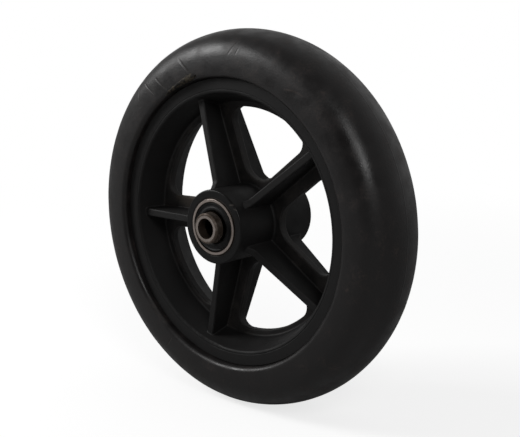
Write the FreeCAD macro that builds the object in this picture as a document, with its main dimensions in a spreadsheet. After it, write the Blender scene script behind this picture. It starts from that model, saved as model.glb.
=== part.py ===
import FreeCAD, Part
import math
import os
from collections import Counter

import Sketcher
from FreeCAD import Placement, Rotation, Vector

os.makedirs("parts", exist_ok=True)
doc = FreeCAD.newDocument("wheelchair_wheel")

# Front castor wheel of a wheelchair, 6 x 1 1/4 inch, on two sealed ball bearings.
#
# Frame: the origin is the wheel's centre, +Y runs along the axle and +Z points up. The face
# at the front is the one at -Y. Every length is in millimetres and every angle in degrees.
# Most pieces are turned shapes: they are drawn in the XY plane, where X is the distance from
# the axle (called across below) and Y the place along it (called along), and turned about Y.

# Driving dimensions: the alias in the sheet, its value, and what it measures.
SIZES = [
    ("wheel_radius", 75.0, "axle to the crown of the tread"),
    ("tyre_height", 18.2, "crown of the tread above the rim's outer edge"),
    ("tyre_overhang", 3.0, "side of the tyre past the rim's face"),
    ("tyre_edge", 1.2, "inner edge of the tyre's side past the rim's face"),
    ("crown_radius", 24.0, "curve of the tread across its width"),
    ("shoulder_radius", 8.5, "curve between tread and sidewall"),
    ("bead_round", 1.0, "rounded inner edge of the tyre's side"),
    ("tyre_gap", 0.05, "tyre to rim, all over its seat"),
    ("rim_width", 26.0, "rim, flange face to flange face"),
    ("flange_face", 5.7, "face of a flange, measured across"),
    ("flange_land", 2.5, "width of the flange's outer edge"),
    ("flange_round", 0.4, "rounded outer edge of the flanges"),
    ("lip_round", 1.0, "rounded inner edge of the flanges"),
    ("channel_depth", 4.6, "channel in the rim that holds the tyre"),
    ("channel_slope", 4.2, "sloping side of that channel, along the axle"),
    ("barrel_wall", 5.0, "rim barrel, from that channel to the inside beside the web"),
    ("web_thickness", 3.5, "the disc with the windows"),
    ("web_round", 0.9, "fillet where the web meets barrel and hub"),
    ("window_margin", 2.3, "web left between the windows and the barrel"),
    ("window_corner", 5.0, "outer corners of a window"),
    ("window_hub_corner", 9.0, "the corner of a window beside the hub"),
    ("window_edge_round", 0.6, "rounded edges of the windows"),
    ("spoke_count", 5, "spokes, and windows between them"),
    ("spoke_width", 13.0, "web left between two windows"),
    ("spoke_angle", 38.45, "first spoke above the X axis"),
    ("rib_thickness", 3.5, "rib along the middle of each spoke, at its root"),
    ("rib_draft", 1.0, "angle by which each side of a rib leans in"),
    ("rib_hub_setback", 6.95, "the rib's edge behind the hub's face, without its foot"),
    ("rib_rim_setback", 3.2, "the rib's edge behind the flange's face"),
    ("rib_foot", 2.4, "how far a rib's edge flares along the hub at its foot"),
    ("rib_foot_round", 3.0, "curve from a rib's edge into its foot"),
    ("rib_edge_round", 0.6, "rounded free edges of the ribs"),
    ("rib_root_round", 0.6, "fillet all round the root of each rib"),
    ("rib_sink", 1.2, "how far a rib's ends run into hub and rim"),
    ("hub_wall", 3.48, "hub barrel round the bearings"),
    ("hub_length", 42.4, "hub, face to face"),
    ("seat_step", 2.0, "height of the shoulder behind each bearing"),
    ("hub_edge_round", 0.6, "rounded outer edge of the hub faces"),
    ("seat_chamfer", 0.6, "chamfer at the mouth of each bearing seat"),
    ("seat_gap", 0.02, "bearing to its seat, on the radius"),
    ("axle_bore", 8.0, "bore of bearings, spacer and bushes"),
    ("bearing_diameter", 22.0, "outside of the bearings"),
    ("bearing_width", 7.0, "width of the bearings"),
    ("bearing_proud", 0.3, "bearing face past the hub face"),
    ("race_corner", 0.3, "rounded outer corners of the races"),
    ("race_gap", 2.6, "space between the shoulders of the two races"),
    ("seal_step", 0.8, "height of the step in the outer race that holds a seal"),
    ("seal_seat_depth", 0.95, "depth of that step"),
    ("seal_thickness", 0.75, "seal disc"),
    ("seal_recess", 0.15, "seal behind the bearing's face"),
    ("seal_lip_gap", 0.1, "seal to the inner race, on the radius"),
    ("seal_fit_gap", 0.01, "seal to its step, on the radius"),
    ("ball_diameter", 3.969, "bearing balls, 5/32 inch"),
    ("ball_count", 7, "balls in each bearing"),
    ("ball_gap", 0.03, "ball to its track"),
    ("cage_width_across", 1.7, "cage ring, measured across"),
    ("cage_back", 0.33, "cage behind the balls"),
    ("cage_cover", 0.9, "how far the cage reaches past the balls' centres"),
    ("pocket_gap", 0.08, "ball to its pocket in the cage"),
    ("spacer_wall", 1.5, "wall of the spacer tube"),
    ("spacer_chamfer", 0.3, "chamfered ends of the spacer tube"),
    ("bush_wall", 1.95, "wall of an end bush"),
    ("bush_chamfer", 0.45, "chamfered ends of an end bush"),
    ("bush_length", 4.0, "end bush, out from the bearing's face"),
]

sheet = doc.addObject("Spreadsheet::Sheet", "Sizes")
for row, (alias, value, note) in enumerate(SIZES, start=1):
    sheet.set(f"A{row}", alias)
    sheet.set(f"B{row}", str(value))
    sheet.set(f"C{row}", note)
    sheet.setAlias(f"B{row}", alias)
doc.recompute()


class Size:
    """A value together with the expression on the sheet that gives it."""

    def __init__(self, value, text):
        self.value = value
        self.text = text

    def __add__(self, other):
        other = as_size(other)
        return Size(self.value + other.value, f"({self.text} + {other.text})")

    def __sub__(self, other):
        other = as_size(other)
        return Size(self.value - other.value, f"({self.text} - {other.text})")

    def __mul__(self, other):
        other = as_size(other)
        return Size(self.value * other.value, f"({self.text} * {other.text})")

    def __truediv__(self, other):
        other = as_size(other)
        return Size(self.value / other.value, f"({self.text} / {other.text})")

    def __neg__(self):
        return Size(-self.value, f"(0 - {self.text})")


def as_size(number):
    return number if isinstance(number, Size) else Size(float(number), repr(float(number)))


def square_root(size):
    return Size(math.sqrt(size.value), f"sqrt({size.text})")


def cosine(angle):
    return Size(math.cos(math.radians(angle.value)), f"cos({angle.text})")


def sine(angle):
    return Size(math.sin(math.radians(angle.value)), f"sin({angle.text})")


def arc_sine(size):
    """Angle in degrees, as a plain number on the sheet too."""
    return Size(math.degrees(math.asin(size.value)), f"(asin({size.text}) / 1 deg)")


def named(alias):
    return Size(float(sheet.get(alias)), f"Sizes.{alias}")


def bind(thing, path, size):
    """Ties a property of an object to the sheet."""
    thing.setExpression(path, size.text)


# Sizes that several pieces share, worked out from the tread inwards and from the bore outwards.
wheel_radius = named("wheel_radius")
flange_radius = wheel_radius - named("tyre_height")
lip_radius = flange_radius - named("flange_face")
well_radius = flange_radius - named("channel_depth")
barrel_radius = well_radius - named("barrel_wall")
window_radius = barrel_radius - named("window_margin")
flange_half = named("rim_width") / 2
land_half = flange_half - named("flange_land")
well_half = land_half - named("channel_slope")
tyre_half = flange_half + named("tyre_overhang")
tyre_edge_half = flange_half + named("tyre_edge")
tyre_gap = named("tyre_gap")
web_half = named("web_thickness") / 2
axle_bore_radius = named("axle_bore") / 2
bearing_radius = named("bearing_diameter") / 2
bearing_half = named("bearing_width") / 2
seat_radius = bearing_radius + named("seat_gap")
hub_radius = seat_radius + named("hub_wall")
hub_half = named("hub_length") / 2
bearing_face = hub_half + named("bearing_proud")
bearing_middle = bearing_face - bearing_half
bearing_shoulder = bearing_face - named("bearing_width")
ball_radius = named("ball_diameter") / 2
ball_pitch_radius = (axle_bore_radius + bearing_radius) / 2
ball_count = int(named("ball_count").value)
inner_land_radius = ball_pitch_radius - named("race_gap") / 2
outer_land_radius = ball_pitch_radius + named("race_gap") / 2
seal_seat_radius = outer_land_radius + named("seal_step")

FRONT, BACK = -1, 1
SIDES = {"front": FRONT, "back": BACK}
LEFT, RIGHT = 1, -1
parts = []


def new_body(name):
    body = doc.addObject("PartDesign::Body", name)
    body.Label = name
    parts.append(body)
    return body


def origin_feature(body, role):
    return next(item for item in body.Origin.OriginFeatures if item.Role == role)


def new_sketch(body, name, role):
    sketch = body.newObject("Sketcher::SketchObject", name)
    sketch.AttachmentSupport = (origin_feature(body, role), [""])
    sketch.MapMode = "FlatFace"
    return sketch


def constrain(sketch, kind, where, size):
    """Adds a dimension and ties it to the sheet."""
    index = sketch.addConstraint(Sketcher.Constraint(kind, *where, size.value))
    sketch.setExpression(f"Constraints[{index}]", size.text)


def arc_between(start, end, radius, turn):
    """The shorter arc from start to end, as the counter-clockwise arc that a sketch holds."""
    chord = end - start
    rise = math.sqrt(radius ** 2 - (chord.Length / 2) ** 2)
    normal = Vector(-chord.y, chord.x, 0).normalize()
    centre = (start + end) / 2 + normal * rise * turn
    first, last = (start, end) if turn == LEFT else (end, start)
    begin = math.atan2(first.y - centre.y, first.x - centre.x)
    finish = math.atan2(last.y - centre.y, last.x - centre.x)
    if finish < begin:
        finish += 2 * math.pi
    return Part.ArcOfCircle(Part.Circle(centre, Vector(0, 0, 1), radius), begin, finish)


def outline(body, name, role, path):
    """Closed outline on one of the body's planes.

    path lists the corners as (x, y), or as (x, y, radius, turn) where an arc of that radius
    leads to the next corner, with its centre to the LEFT or RIGHT of the way.
    """
    sketch = new_sketch(body, name, role)
    ends = []
    for number, corner in enumerate(path):
        after = path[(number + 1) % len(path)]
        start = Vector(corner[0].value, corner[1].value, 0)
        end = Vector(after[0].value, after[1].value, 0)
        if len(corner) == 2:
            sketch.addGeometry(Part.LineSegment(start, end), False)
            ends.append((1, 2))
        else:
            radius, turn = corner[2:]
            sketch.addGeometry(arc_between(start, end, radius.value, turn), False)
            ends.append((1, 2) if turn == LEFT else (2, 1))
    for number in range(len(path)):
        after = (number + 1) % len(path)
        sketch.addConstraint(Sketcher.Constraint("Coincident", number, ends[number][1],
                                                 after, ends[after][0]))
    for number, corner in enumerate(path):
        constrain(sketch, "DistanceX", (-1, 1, number, ends[number][0]), corner[0])
        constrain(sketch, "DistanceY", (-1, 1, number, ends[number][0]), corner[1])
        if len(corner) > 2:
            constrain(sketch, "Radius", (number,), corner[2])
    return sketch


def mirrored(half):
    """Adds the mirror image below the X axis to the corners above it."""
    lower = []
    for number in range(len(half) - 1, -1, -1):
        across, along = half[number][:2]
        bend = half[number - 1][2:] if number else ()
        lower.append((across, -along) + bend)
    return half + lower


def turned(body, path, name="Turned"):
    """Solid turned about the axle from an outline in the XY plane."""
    sketch = outline(body, name + "Sketch", "XY_Plane", path)
    feature = body.newObject("PartDesign::Revolution", name)
    feature.Profile = sketch
    feature.ReferenceAxis = (sketch, ["V_Axis"])
    feature.Angle = 360
    doc.recompute()
    return feature


def edges_where(feature, test):
    return [f"Edge{number}" for number, edge in enumerate(feature.Shape.Edges, start=1) if test(edge)]


def is_ring(edge, radius):
    """Whether an edge is a circle about the axle, of any radius or of the given one."""
    if not isinstance(edge.Curve, Part.Circle):
        return False
    centre = edge.Curve.Center
    if math.hypot(centre.x, centre.z) > 1e-4 or abs(edge.Curve.Axis.y) < 0.99:
        return False
    return radius is None or abs(edge.Curve.Radius - radius) < 1e-4


def ring_at(radius, along):
    """Test for the pair of circles of one radius that lie at +along and -along."""
    def test(edge):
        return is_ring(edge, radius.value) and abs(abs(edge.Curve.Center.y) - along.value) < 1e-4
    return test


def dress(body, kind, base, name, test, size):
    """Rounds or chamfers the edges of base that pass the test."""
    feature = body.newObject("PartDesign::" + kind, name)
    feature.Base = (base, edges_where(base, test))
    bind(feature, "Radius" if kind == "Fillet" else "Size", size)
    doc.recompute()
    return feature


def around_axle(body, features, name, count):
    """Repeats features evenly about the axle."""
    pattern = body.newObject("PartDesign::PolarPattern", name)
    pattern.Originals = features
    pattern.Axis = (origin_feature(body, "Y_Axis"), [""])
    pattern.Angle = 360
    bind(pattern, "Occurrences", count)
    body.Tip = pattern
    doc.recompute()
    return pattern


def place_along(thing, along):
    bind(thing, ".Placement.Base.y", along)


def make_tyre():
    """Solid tyre with a rounded section; its inner side fills the channel of the rim."""
    body = new_body("tyre")
    crown_radius = named("crown_radius")
    shoulder_radius = named("shoulder_radius")
    seat = flange_radius + tyre_gap
    # The shoulder touches the crown's arc inside and stands upright at the tyre's side.
    crown_centre = wheel_radius - crown_radius
    shoulder_along = tyre_half - shoulder_radius
    reach = crown_radius - shoulder_radius
    shoulder_across = crown_centre + square_root(reach * reach - shoulder_along * shoulder_along)
    crown_end_across = crown_centre + (shoulder_across - crown_centre) * crown_radius / reach
    crown_end_along = shoulder_along * crown_radius / reach
    # The sidewall leaves the shoulder upright and bends in to the edge that stands past the flange.
    height = shoulder_across - seat
    overhang = tyre_half - tyre_edge_half
    side_radius = (height * height + overhang * overhang) / (overhang * 2)
    base = turned(body, mirrored([
        (well_radius + tyre_gap, well_half),
        (seat, land_half),
        (seat, tyre_edge_half, side_radius, RIGHT),
        (shoulder_across, tyre_half, shoulder_radius, RIGHT),
        (crown_end_across, crown_end_along, crown_radius, RIGHT),
    ]))
    dress(body, "Fillet", base, "BeadEdges", ring_at(seat, tyre_edge_half), named("bead_round"))


def window_path():
    """One window, half a spoke's turn up from the X axis: its sides run along two spokes."""
    half_angle = as_size(180) / named("spoke_count")
    middle = half_angle
    spoke_half = named("spoke_width") / 2
    corner = named("window_corner")
    hub_corner = named("window_hub_corner")
    corner_circle = window_radius - corner
    swing = half_angle - arc_sine((spoke_half + corner) / corner_circle)
    hub_circle = (spoke_half + hub_corner) / sine(half_angle)

    def spot(circle, side, swing_out, radius):
        """Point of a corner arc where it leaves the side of the window."""
        centre = middle + swing_out * side
        flank = middle + (half_angle + 90) * side
        return (circle * cosine(centre) + radius * cosine(flank),
                circle * sine(centre) + radius * sine(flank))

    def arc_end(side):
        return (window_radius * cosine(middle + swing * side),
                window_radius * sine(middle + swing * side))

    still = as_size(0)
    return [
        arc_end(-1) + (window_radius, LEFT),
        arc_end(1) + (corner, LEFT),
        spot(corner_circle, 1, swing, corner),
        spot(hub_circle, 1, still, hub_corner) + (hub_corner, LEFT),
        spot(hub_circle, -1, still, hub_corner),
        spot(corner_circle, -1, swing, corner) + (corner, LEFT),
    ]


def make_rim():
    """One moulding: hub barrel, web with windows, ribs on both faces, barrel and flanges."""
    body = new_body("rim")
    feature = turned(body, mirrored([
        (seat_radius - named("seat_step"), bearing_shoulder),
        (seat_radius, bearing_shoulder),
        (seat_radius, hub_half),
        (hub_radius, hub_half),
        (hub_radius, web_half),
        (barrel_radius, web_half),
        (lip_radius, flange_half),
        (flange_radius, flange_half),
        (flange_radius, land_half),
        (well_radius, well_half),
    ]), "HubWebAndBarrel")
    web_round = named("web_round")
    for name, across, along, size in [
        ("BarrelFillets", barrel_radius, web_half, web_round),
        ("HubFillets", hub_radius, web_half, web_round),
        ("LipEdges", lip_radius, flange_half, named("lip_round")),
        ("FlangeEdges", flange_radius, flange_half, named("flange_round")),
        ("HubEdges", hub_radius, hub_half, named("hub_edge_round")),
    ]:
        feature = dress(body, "Fillet", feature, name, ring_at(across, along), size)
    dress(body, "Chamfer", feature, "SeatMouths", ring_at(seat_radius, hub_half), named("seat_chamfer"))

    # The web's XZ plane looks along -Y, so a window's outline keeps its X and Z.
    window = body.newObject("PartDesign::Pocket", "Window")
    window.Profile = outline(body, "WindowSketch", "XZ_Plane", window_path())
    window.Type = "ThroughAll"
    window.SideType = "Symmetric"
    doc.recompute()
    windows = around_axle(body, [window], "Windows", named("spoke_count"))

    def window_edge(edge):
        """Edges on the web's two faces, without the circles of hub and barrel."""
        box = edge.BoundBox
        flat = box.YLength < 1e-4 and abs(abs(box.YMin) - web_half.value) < 1e-4
        return flat and (not is_ring(edge, None) or is_ring(edge, window_radius.value))

    dress(body, "Fillet", windows, "WindowEdges", window_edge, named("window_edge_round"))

    barrel_slope = (lip_radius - barrel_radius) / (flange_half - web_half)
    rim_reach = flange_half - named("rib_rim_setback")
    rib_end = barrel_radius + barrel_slope * (rim_reach - web_half)
    joined = body.newObject("PartDesign::Boolean", "WithRibs")
    joined.Type = "Fuse"
    joined.setObjects([make_ribs(rib_end, rim_reach)])
    doc.recompute()

    def rib_edge(edge):
        """Long straight edges that slope along the axle, clear of the web."""
        if edge.Length < (rib_end - hub_radius).value / 2:
            return False
        return edge.BoundBox.YLength > 1e-3 and abs(edge.CenterOfMass.y) > rim_reach.value

    rounded = dress(body, "Fillet", joined, "RibEdges", rib_edge, named("rib_edge_round"))

    def on_rib(face):
        """Whether a face is a side, a free edge or a rounded corner of a rib."""
        centre = face.CenterOfMass
        across = math.hypot(centre.x, centre.z)
        turn = 360 / named("spoke_count").value
        off_spoke = (math.degrees(math.atan2(centre.z, centre.x)) + turn / 2) % turn - turn / 2
        aside = across * abs(math.sin(math.radians(off_spoke)))
        between = hub_radius.value < across < rib_end.value
        return between and aside < named("rib_thickness").value / 2 and abs(centre.y) > web_half.value

    # The root is made of the edges where a rib meets hub, web and barrel: those of one rib face only.
    uses = Counter(edge.hashCode() for face in rounded.Shape.Faces if on_rib(face) for edge in face.Edges)
    dress(body, "Fillet", rounded, "RibRoots", lambda edge: uses[edge.hashCode()] == 1,
          named("rib_root_round"))
    body.Placement = Placement(Vector(), Rotation(Vector(0, 1, 0), -named("spoke_angle").value))


def make_ribs(rib_end, rim_reach):
    """The ribs alone, through the web from face to face, with their ends inside hub and barrel.

    The sides lean in from the mid-plane. The free edge leaves the hub at 45 degrees, bends at the
    foot and then falls in a straight line to the barrel, where its place is rib_end, rim_reach.
    """
    body = doc.addObject("PartDesign::Body", "ribs")
    body.AllowCompound = True
    sink, foot = named("rib_sink"), named("rib_foot")
    hub_reach = hub_half - named("rib_hub_setback")
    fall = (hub_reach - rim_reach) / (rib_end - hub_radius)
    start, finish = hub_radius - sink, rib_end + sink
    foot_across, foot_reach = hub_radius + foot, hub_reach - fall * foot
    top = foot_reach + foot + sink

    root_half = named("rib_thickness") / 2
    top_half = root_half - top * sine(named("rib_draft")) / cosine(named("rib_draft"))
    # In the YZ plane a sketch's X is the place along the axle and its Y is the thickness.
    section = outline(body, "RibSection", "YZ_Plane", [
        (-top, -top_half),
        (as_size(0), -root_half),
        (top, -top_half),
        (top, top_half),
        (as_size(0), root_half),
        (-top, top_half),
    ])
    bind(section, ".AttachmentOffset.Base.z", start)
    rib = body.newObject("PartDesign::Pad", "Rib")
    rib.Profile = section
    bind(rib, "Length", finish - start)

    lean = square_root(fall * fall + 1)
    bend = named("rib_foot_round")
    half_turn = (as_size(45) - arc_sine(fall / lean)) / 2
    tangent = bend * sine(half_turn) / cosine(half_turn)
    features = [rib]
    for place, side in SIDES.items():
        cut = body.newObject("PartDesign::Pocket", f"FreeEdge_{place}")
        cut.Profile = outline(body, f"FreeEdgeSketch_{place}", "XY_Plane", [
            (start, top * side),
            (foot_across - tangent * cosine(as_size(45)), (foot_reach + tangent * sine(as_size(45))) * side,
             bend, LEFT * side),
            (foot_across + tangent / lean, (foot_reach - tangent * fall / lean) * side),
            (finish, (rim_reach - fall * sink) * side),
            (finish, (top + foot) * side),
            (start, (top + foot) * side),
        ])
        cut.Type = "ThroughAll"
        cut.SideType = "Symmetric"
        doc.recompute()
        features.append(cut)
    around_axle(body, features, "Ribs", named("spoke_count"))
    return body


def cut_ball_track(body):
    """Groove for the balls, round the middle of a race."""
    track_radius = ball_radius + named("ball_gap")
    sketch = new_sketch(body, "TrackSketch", "XY_Plane")
    centre = Vector(ball_pitch_radius.value, 0, 0)
    sketch.addGeometry(Part.Circle(centre, Vector(0, 0, 1), track_radius.value), False)
    sketch.addConstraint(Sketcher.Constraint("PointOnObject", 0, 3, -1))
    constrain(sketch, "DistanceX", (-1, 1, 0, 3), ball_pitch_radius)
    constrain(sketch, "Radius", (0,), track_radius)
    groove = body.newObject("PartDesign::Groove", "Track")
    groove.Profile = sketch
    groove.ReferenceAxis = (sketch, ["V_Axis"])
    groove.Angle = 360
    doc.recompute()
    return groove


def make_outer_race(name, side):
    """Outer race with its ball track and a step for a seal at each face."""
    body = new_body(name)
    step = bearing_half - named("seal_seat_depth")
    turned(body, mirrored([
        (outer_land_radius, step),
        (seal_seat_radius, step),
        (seal_seat_radius, bearing_half),
        (bearing_radius, bearing_half),
    ]))
    track = cut_ball_track(body)
    dress(body, "Fillet", track, "Corners", ring_at(bearing_radius, bearing_half), named("race_corner"))
    place_along(body, bearing_middle * side)


def make_inner_race(name, side):
    """Inner race with its ball track."""
    body = new_body(name)
    turned(body, mirrored([
        (axle_bore_radius, bearing_half),
        (inner_land_radius, bearing_half),
    ]))
    track = cut_ball_track(body)
    dress(body, "Fillet", track, "Corners", ring_at(axle_bore_radius, bearing_half), named("race_corner"))
    place_along(body, bearing_middle * side)


def make_seal(name, side, face):
    """Seal disc in its step; face is the side of the bearing that it closes."""
    body = new_body(name)
    half = named("seal_thickness") / 2
    turned(body, mirrored([
        (inner_land_radius + named("seal_lip_gap"), half),
        (seal_seat_radius - named("seal_fit_gap"), half),
    ]))
    inset = bearing_half - named("seal_recess") - half
    place_along(body, bearing_middle * side + inset * face)


def make_cage(name, side):
    """Crown cage: a ring behind the balls with a round pocket for each, open to one side."""
    body = new_body(name)
    half_across = named("cage_width_across") / 2
    pocket_radius = ball_radius + named("pocket_gap")
    turned(body, [
        (ball_pitch_radius - half_across, named("cage_cover")),
        (ball_pitch_radius + half_across, named("cage_cover")),
        (ball_pitch_radius + half_across, -(pocket_radius + named("cage_back"))),
        (ball_pitch_radius - half_across, -(pocket_radius + named("cage_back"))),
    ])
    # Turned so that the sphere's poles and seam lie outside the ring.
    pocket = body.newObject("PartDesign::SubtractiveSphere", "Pocket")
    pocket.Placement = Placement(Vector(), Rotation(Vector(1, 1, 1), 120))
    bind(pocket, "Radius", pocket_radius)
    bind(pocket, ".Placement.Base.x", ball_pitch_radius)
    doc.recompute()
    around_axle(body, [pocket], "Pockets", named("ball_count"))
    # The closed side faces the middle of the hub, so the front cage is turned over.
    if side == FRONT:
        body.Placement = Placement(Vector(), Rotation(Vector(1, 0, 0), 180))
    place_along(body, bearing_middle * side)


def make_balls(name, side):
    """Balls of one bearing, evenly round the pitch circle."""
    for number in range(ball_count):
        angle = as_size(360 * number) / named("ball_count")
        ball = doc.addObject("Part::Sphere", f"{name}_{number + 1}")
        ball.Label = f"{name}_{number + 1}"
        bind(ball, "Radius", ball_radius)
        bind(ball, ".Placement.Base.x", ball_pitch_radius * cosine(angle))
        bind(ball, ".Placement.Base.z", ball_pitch_radius * sine(angle))
        place_along(ball, bearing_middle * side)
        parts.append(ball)


def make_sleeve(name, wall, chamfer, length, middle):
    """Plain tube on the axle with chamfered ends: the spacer, or an end bush."""
    body = new_body(name)
    outside = axle_bore_radius + wall
    half = length / 2
    base = turned(body, mirrored([
        (axle_bore_radius, half),
        (outside, half),
    ]))
    dress(body, "Chamfer", base, "Ends", ring_at(outside, half), chamfer)
    place_along(body, middle)


make_tyre()
make_rim()
for place, side in SIDES.items():
    make_outer_race(f"outer_race_{place}", side)
    make_inner_race(f"inner_race_{place}", side)
    make_seal(f"seal_{place}_outer", side, side)
    make_seal(f"seal_{place}_inner", side, -side)
    make_cage(f"cage_{place}", side)
    make_balls(f"ball_{place}", side)
make_sleeve("spacer_tube", named("spacer_wall"), named("spacer_chamfer"), bearing_shoulder * 2, as_size(0))
for place, side in SIDES.items():
    bush_length = named("bush_length")
    make_sleeve(f"end_bush_{place}", named("bush_wall"), named("bush_chamfer"), bush_length,
                (bearing_face + bush_length / 2) * side)
doc.recompute()

failed = [item.Name for item in doc.Objects if {"Invalid", "Error"} & set(item.State)]
if failed:
    raise RuntimeError(f"these objects could not be built: {failed}")
for part in parts:
    if part.Shape.isNull() or not part.Shape.isValid() or len(part.Shape.Solids) != 1:
        raise RuntimeError(f"{part.Label} is not one sound solid")
for part in parts:
    part.Shape.exportStep(f"parts/{part.Label}.step")
    box = part.Shape.BoundBox
    print(f"{part.Label}: {part.Shape.Volume:.1f} mm3, along {box.YMin:.2f} to {box.YMax:.2f}")
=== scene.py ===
import math

import bmesh
import bpy
from bpy.props import FloatProperty, FloatVectorProperty, IntProperty, PointerProperty, StringProperty
from mathutils import Matrix, Vector


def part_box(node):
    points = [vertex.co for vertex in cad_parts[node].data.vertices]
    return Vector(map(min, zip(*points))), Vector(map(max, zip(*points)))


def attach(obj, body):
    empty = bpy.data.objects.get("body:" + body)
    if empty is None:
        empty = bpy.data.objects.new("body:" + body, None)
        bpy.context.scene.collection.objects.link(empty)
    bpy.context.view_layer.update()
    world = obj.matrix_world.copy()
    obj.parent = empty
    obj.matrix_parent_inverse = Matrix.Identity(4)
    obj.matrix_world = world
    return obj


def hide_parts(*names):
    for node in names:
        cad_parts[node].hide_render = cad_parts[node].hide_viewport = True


bl_info = {
    "name": "Wheelchair wheel",
    "version": (1, 0, 0),
    "blender": (4, 5, 0),
    "location": "3D View > Sidebar > Wheel",
    "description": "Front wheel of a wheelchair: worn solid tyre, moulded rim, sealed bearings and bushes",
    "category": "Add Mesh",
}

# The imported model: +Y runs along the axle away from the front, +Z is up, lengths are metres.
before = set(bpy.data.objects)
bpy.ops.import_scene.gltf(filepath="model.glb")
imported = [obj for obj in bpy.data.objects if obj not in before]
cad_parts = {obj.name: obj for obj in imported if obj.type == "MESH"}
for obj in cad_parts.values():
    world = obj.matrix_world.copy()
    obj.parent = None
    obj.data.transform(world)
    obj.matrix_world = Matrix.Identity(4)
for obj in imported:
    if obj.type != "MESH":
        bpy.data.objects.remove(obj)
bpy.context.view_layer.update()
MM = 0.001

TYRE_LOW, TYRE_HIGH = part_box("tyre")
RIM_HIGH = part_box("rim")[1]
SEAL_LOW, SEAL_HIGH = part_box("seal_front_outer")
RACE_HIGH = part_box("outer_race_front")[1]
BUSH_DEPTH = abs(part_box("end_bush_front")[0].y)
# The side of the mid-plane, along Y, on which each end lies.
ENDS = {"front": -1, "back": 1}

# Names of the two node groups
TURNING = "Turn about the axle"
MARKING = "Straight mark"

# How far apart the lumps of an uneven surface lie, and how deep those of the grime are.
TYRE_LUMPS = 14 * MM
GRIME_LUMPS = 1.5 * MM
GRIME_UNEVENNESS = 0.12 * MM

# Where a finish changes, each as the start and end of a soft step. The first four are depths from
# the mid-plane, and the rest are distances from the axle.
WEB_FACE = (1.6 * MM, 2.6 * MM)
FLANGE_FACE = (12.2 * MM, 12.5 * MM)
HUB_FACE = (20.6 * MM, 21.0 * MM)
BUSH_FACE = (BUSH_DEPTH - 0.35 * MM, BUSH_DEPTH - 0.15 * MM)
BORE_WALL = (4.02 * MM, 4.12 * MM)
BUSH_RIM = (4.9 * MM, 5.2 * MM)
RACE_STEP = (9.75 * MM, 10.05 * MM)
RACE_CORNER = (10.75 * MM, 10.95 * MM)
HUB_RIM = (14 * MM, 16 * MM)
HUB_FOOT = (15 * MM, 17 * MM)
TREAD = (70 * MM, 72 * MM)

# Shades of dirt, wear and shadow over the main colours, as sRGB hex values
SPLIT_SHADE = "#060505"
TORN_DARK = "#15120f"
LINE_BLACK = "#030303"
NICK_GREY = "#4e4945"
SETTLED_DUST = "#6a5f53"
STEEL_FILM = "#8d8170"
RACE_GRIME_AND_SHADE = "#2c2620"
SEAL_DUST = "#3a342d"
GREASE_DARK = "#14100d"
BORE_BROWN = "#54483e"
CAGE_PALE = "#c9b98f"
CAGE_DARK = "#a8925f"
TUBE_DARK = "#8f8d89"
TUBE_PALE = "#a5a29d"

# Stage: the floor's glow for the camera, the reach over which it turns white, the direction of the
# dim side of the room, the light on the bright and dim sides, and the backdrop's share in mirrors.
FLOOR_GLOW = 0.75
FLOOR_FADE = (0.16, 0.55)
DIM_SIDE = Vector((0.15, -0.98, 0.10)).normalized()
BRIGHT_LIGHT = 0.22
DIM_LIGHT = 0.08
MIRRORED_SHARE = 0.35
SENSOR_WIDTH = 36.0

# Each lamp: its name, where it stands in metres, its side in metres and its power in watts.
LAMPS = [
    ("lamp_left", (-0.95, -0.60, 0.62), 0.5, 7.8),
    ("lamp_right", (0.80, -0.62, 0.66), 0.38, 2.7),
]


# Sizes and colours that a user would change

class TyreSettings(bpy.types.PropertyGroup):
    """Section of the solid tyre and how worn it is."""
    crown_radius: FloatProperty(
        name="Crown radius", description="Curve of the tread across its width",
        default=24.0 * MM, unit="LENGTH")
    shoulder_radius: FloatProperty(
        name="Shoulder radius", description="Curve between tread and sidewall",
        default=10.5 * MM, unit="LENGTH")
    side_radius: FloatProperty(
        name="Side radius", description="Gentle curve of each side",
        default=30.0 * MM, unit="LENGTH")
    widest_radius: FloatProperty(
        name="Widest radius", description="Distance from the axle at which the tyre is widest",
        default=60.0 * MM, unit="LENGTH")
    bead_radius: FloatProperty(
        name="Bead radius", description="Rounded inner edge of each side",
        default=2.0 * MM, unit="LENGTH")
    land_half: FloatProperty(
        name="Land half", description="Mid-plane to the inner end of the seat on a flange",
        default=10.5 * MM, unit="LENGTH")
    key_half: FloatProperty(
        name="Key half", description="Half the width of the tyre's root in the rim's channel",
        default=6.3 * MM, unit="LENGTH")
    seat_gap: FloatProperty(
        name="Seat gap", description="Clearance between the tyre and the rim",
        default=0.05 * MM, unit="LENGTH")
    unevenness: FloatProperty(
        name="Unevenness", description="How far the surface wanders from its true shape",
        default=0.16 * MM, unit="LENGTH")
    steps_around: IntProperty(
        name="Steps around", description="Divisions round the tyre", default=480)
    colour: StringProperty(
        name="Colour", description="Tyre compound, as an sRGB hex value", default="#161313")
    torn_colour: StringProperty(
        name="Torn colour", description="Split edge of the compound, as an sRGB hex value", default="#453e32")
    worn_colour: StringProperty(
        name="Worn colour", description="Scuffed and dusty compound, as an sRGB hex value", default="#392f2b")


class RimSettings(bpy.types.PropertyGroup):
    """Colours of the moulded rim."""
    colour: StringProperty(
        name="Colour", description="Moulded nylon, as an sRGB hex value", default="#181717")
    dust_colour: StringProperty(
        name="Dust colour", description="Dust that lies on the web, as an sRGB hex value", default="#363230")
    line_radius: FloatProperty(
        name="Line radius", description="Axle to the fine moulding line on the flanges",
        default=52.2 * MM, unit="LENGTH")


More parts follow.
